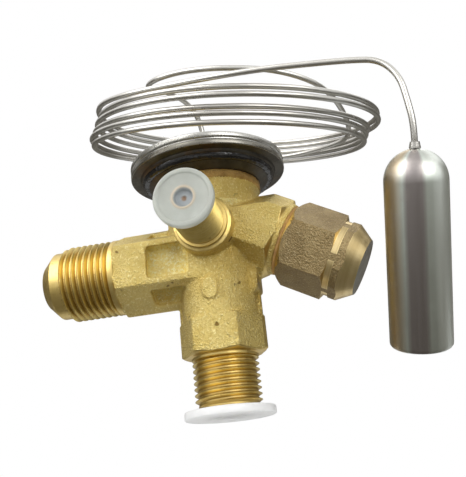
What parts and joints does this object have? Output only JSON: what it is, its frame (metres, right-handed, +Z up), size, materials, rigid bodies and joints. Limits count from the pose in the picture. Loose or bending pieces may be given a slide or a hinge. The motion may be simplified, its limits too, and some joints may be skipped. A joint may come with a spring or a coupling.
{
  "type": "refrigerant expansion valve",
  "caption": "Brass angle expansion valve with a steel diaphragm head, flare connections, capped setting spindle, coiled capillary and sensing bulb.",
  "frame": {"origin": "centre of the inlet's nose end, on the main axis", "axes": "+Z up the main axis to the diaphragm head, -X along the outlet, -Y along the equaliser connection"},
  "size_m": [0.0978, 0.0764, 0.0871],
  "materials": {
    "forged_brass": "shot-blasted, with turned connections",
    "bar_brass": "dull drawn flats, bright turned ends",
    "turned_brass": "turned",
    "head_steel": "stainless, heat-tinted dark below",
    "stainless": "satin stainless",
    "spring_steel": "drawn wire",
    "cap_plastic": "milky translucent",
    "seal_rubber": "matt",
    "gasket_fibre": "matt"
  },
  "bodies": {
    "housing": {"valve_body": "forged_brass", "orifice_body": "turned_brass", "spring_retainer": "turned_brass", "cone_spring": "spring_steel", "strainer": "stainless", "superheat_spring": "spring_steel", "spring_seat": "turned_brass", "spindle_gland": "turned_brass", "spindle_seal_ring": "seal_rubber", "seal_cap_gasket": "gasket_fibre", "head_lower_cup": "head_steel", "diaphragm": "stainless", "head_upper_cup": "head_steel", "head_bead": "head_steel", "capillary_ferrule": "stainless", "capillary_lead": "stainless", "capillary_tail": "stainless", "capillary_coil": "stainless", "bulb": "stainless", "bulb_ferrule": "stainless"},
    "stem": {"pressure_pad": "turned_brass", "push_pin": "stainless", "valve_cone": "stainless"},
    "spindle": {"setting_spindle": "stainless"},
    "gear": {"setting_gear": "turned_brass"},
    "seal_cap_body": {"seal_cap": "bar_brass"},
    "equaliser_cap_body": {"equaliser_cap": "cap_plastic"},
    "inlet_plug_body": {"inlet_plug": "cap_plastic"}
  },
  "joints": [
    {"name": "valve_stem", "type": "slide", "parent": "housing", "child": "stem", "axis": [0, 0, -1], "range_m": [0, 0.0008], "stiffness_N_per_m": 500, "springref_m": -0.001, "deforming": ["superheat_spring", "cone_spring", "diaphragm"]},
    {"name": "spindle_turn", "type": "hinge", "parent": "housing", "child": "spindle", "pos_m": [0, 0, 0.0503], "axis": [0.8729, 0, -0.4879], "range_deg": [-1200, 1200]},
    {"name": "gear_turn", "type": "hinge", "parent": "housing", "child": "gear", "pos_m": [0, 0, 0.0503], "axis": [0, 0, 1], "range_deg": [-358.96, 358.96]},
    {"name": "seal_cap_pull", "type": "slide", "parent": "housing", "child": "seal_cap_body", "axis": [0.8729, 0, -0.4879], "range_m": [0, 0.03]},
    {"name": "equaliser_cap_pull", "type": "slide", "parent": "housing", "child": "equaliser_cap_body", "axis": [0, -1, 0], "range_m": [0, 0.03]},
    {"name": "inlet_plug_pull", "type": "slide", "parent": "housing", "child": "inlet_plug_body", "axis": [0, 0, -1], "range_m": [0, 0.03]}
  ],
  "couplings": [
    {"joint": "gear_turn", "follows": "spindle_turn", "ratio": -0.29913}
  ]
}
